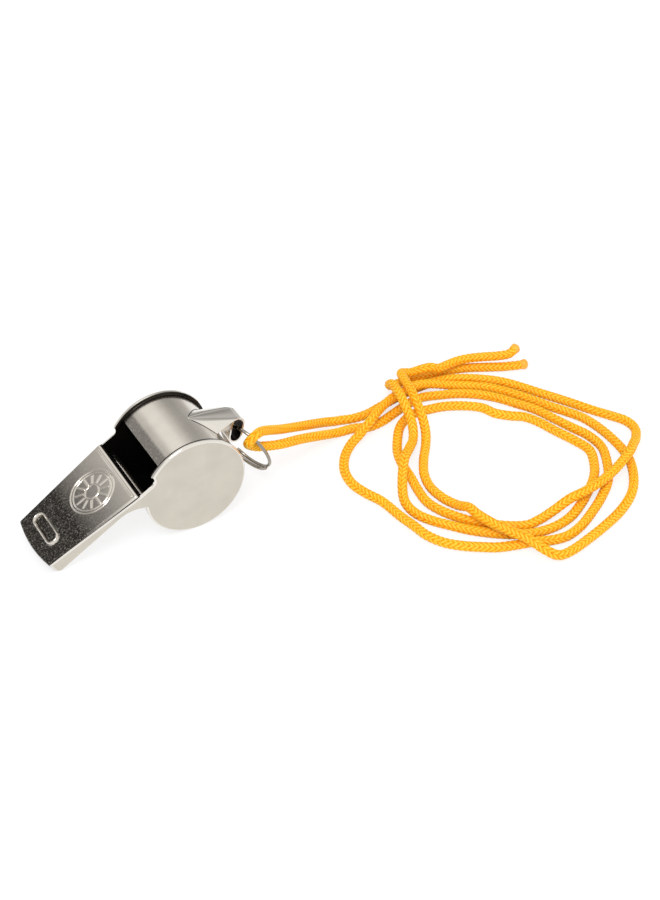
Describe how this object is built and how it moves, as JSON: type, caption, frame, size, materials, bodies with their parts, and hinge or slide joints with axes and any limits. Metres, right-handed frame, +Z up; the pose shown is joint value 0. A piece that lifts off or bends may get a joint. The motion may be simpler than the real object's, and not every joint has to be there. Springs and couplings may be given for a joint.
{
  "type": "sports whistle",
  "caption": "Pressed sheet metal whistle with a rolling ball in its barrel, and a braided neck cord looped through a split ring on its eye.",
  "frame": {"origin": "on the table, midway along the length of the whistle with its ring and midway between the two side discs", "axes": "+X from the mouthpiece's tip to the barrel, the ring and the cord; +Y along the barrel's axis; +Z up"},
  "size_m": [0.1285, 0.0649, 0.022],
  "materials": {
    "plated_band": "bright nickel plate on rolled steel sheet",
    "plated_sides": "bright nickel plate on pressed steel sheet",
    "plated_top": "bright nickel plate on a stamped sheet with a rolled grain",
    "plated_inside": "thinly plated steel, duller inside",
    "cork": "turned cork",
    "ring_wire": "bright plated spring wire",
    "orange_braid": "braided polyester, slight sheen",
    "sealed_braid": "cord end melted to a small dome"
  },
  "bodies": {
    "whistle": {"barrel_band": "plated_band", "side_plate_near": "plated_sides", "side_plate_far": "plated_sides", "mouthpiece_top": "plated_top", "mouthpiece_floor": "plated_sides", "windway_ramp": "plated_inside", "lanyard_strand_a": "orange_braid", "lanyard_strand_b": "orange_braid", "lanyard_sealed_ends": "sealed_braid"},
    "ball": {"cork_ball": "cork"},
    "ring": {"split_ring": "ring_wire"}
  },
  "joints": [
    {"name": "ball_roll", "type": "hinge", "parent": "whistle", "child": "ball", "pos_m": [0.0071, 0, 0.011], "axis": [0, 1, 0], "continuous": true},
    {"name": "ring_swing", "type": "hinge", "parent": "whistle", "child": "ring", "pos_m": [0.01978, 0, 0.01501], "axis": [0, 1, 0], "range_deg": [-40, 10], "deforming": ["lanyard_strand_a", "lanyard_strand_b"]}
  ]
}
